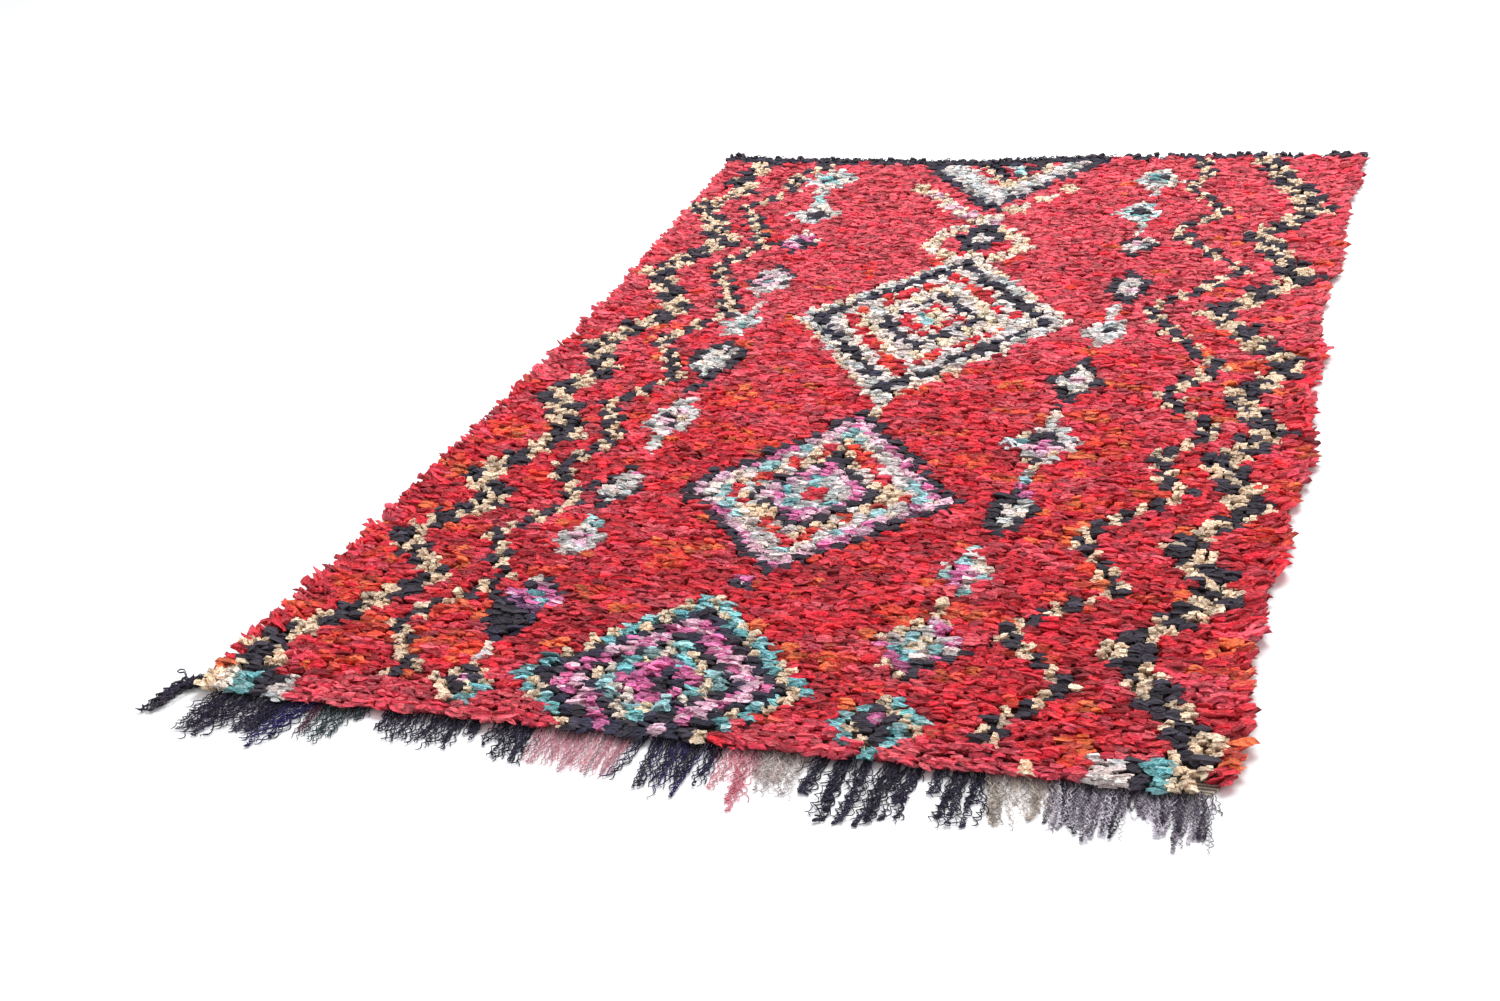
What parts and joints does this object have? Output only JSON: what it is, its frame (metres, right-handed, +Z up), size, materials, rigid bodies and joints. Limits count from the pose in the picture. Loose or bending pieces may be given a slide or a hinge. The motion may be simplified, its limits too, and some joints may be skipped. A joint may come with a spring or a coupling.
{
  "type": "boucherouite rug",
  "caption": "Flat rug knotted from rag strips: shaggy red pile with nested lozenges and zigzags, a fringe of mixed warp yarns at one end and a dark tufted edging at the other.",
  "frame": {"origin": "on the floor under the middle of the rug's box, fringe and edging included", "axes": "+Z up, +Y along the rug from the fringed end to the far end, +X across it"},
  "size_m": [1.37, 2.2782, 0.0285],
  "materials": {
    "pile": "matte knotted rags, mostly reds",
    "far_edging": "dark rag tufts",
    "tassel": "black plied warp yarn",
    "fringe_black_left": "black plied warp yarn",
    "fringe_navy_left": "navy warp yarn",
    "fringe_wine": "wine red warp yarn",
    "fringe_green": "dark green warp yarn",
    "fringe_black_middle": "black warp yarn",
    "fringe_rose": "rose warp yarn",
    "fringe_navy_middle": "navy warp yarn",
    "fringe_pink": "pale pink warp yarn",
    "fringe_grey_beige": "grey-beige fuzzy warp yarn",
    "fringe_black_right": "black warp yarn",
    "fringe_sand": "sand-coloured warp yarn",
    "fringe_grey": "grey melange loop yarn"
  },
  "bodies": {
    "root": {"pile": "pile", "far_edging": "far_edging", "tassel": "tassel", "fringe_black_left": "fringe_black_left", "fringe_navy_left": "fringe_navy_left", "fringe_wine": "fringe_wine", "fringe_green": "fringe_green", "fringe_black_middle": "fringe_black_middle", "fringe_rose": "fringe_rose", "fringe_navy_middle": "fringe_navy_middle", "fringe_pink": "fringe_pink", "fringe_grey_beige": "fringe_grey_beige", "fringe_black_right": "fringe_black_right", "fringe_sand": "fringe_sand", "fringe_grey": "fringe_grey"}
  },
  "joints": []
}
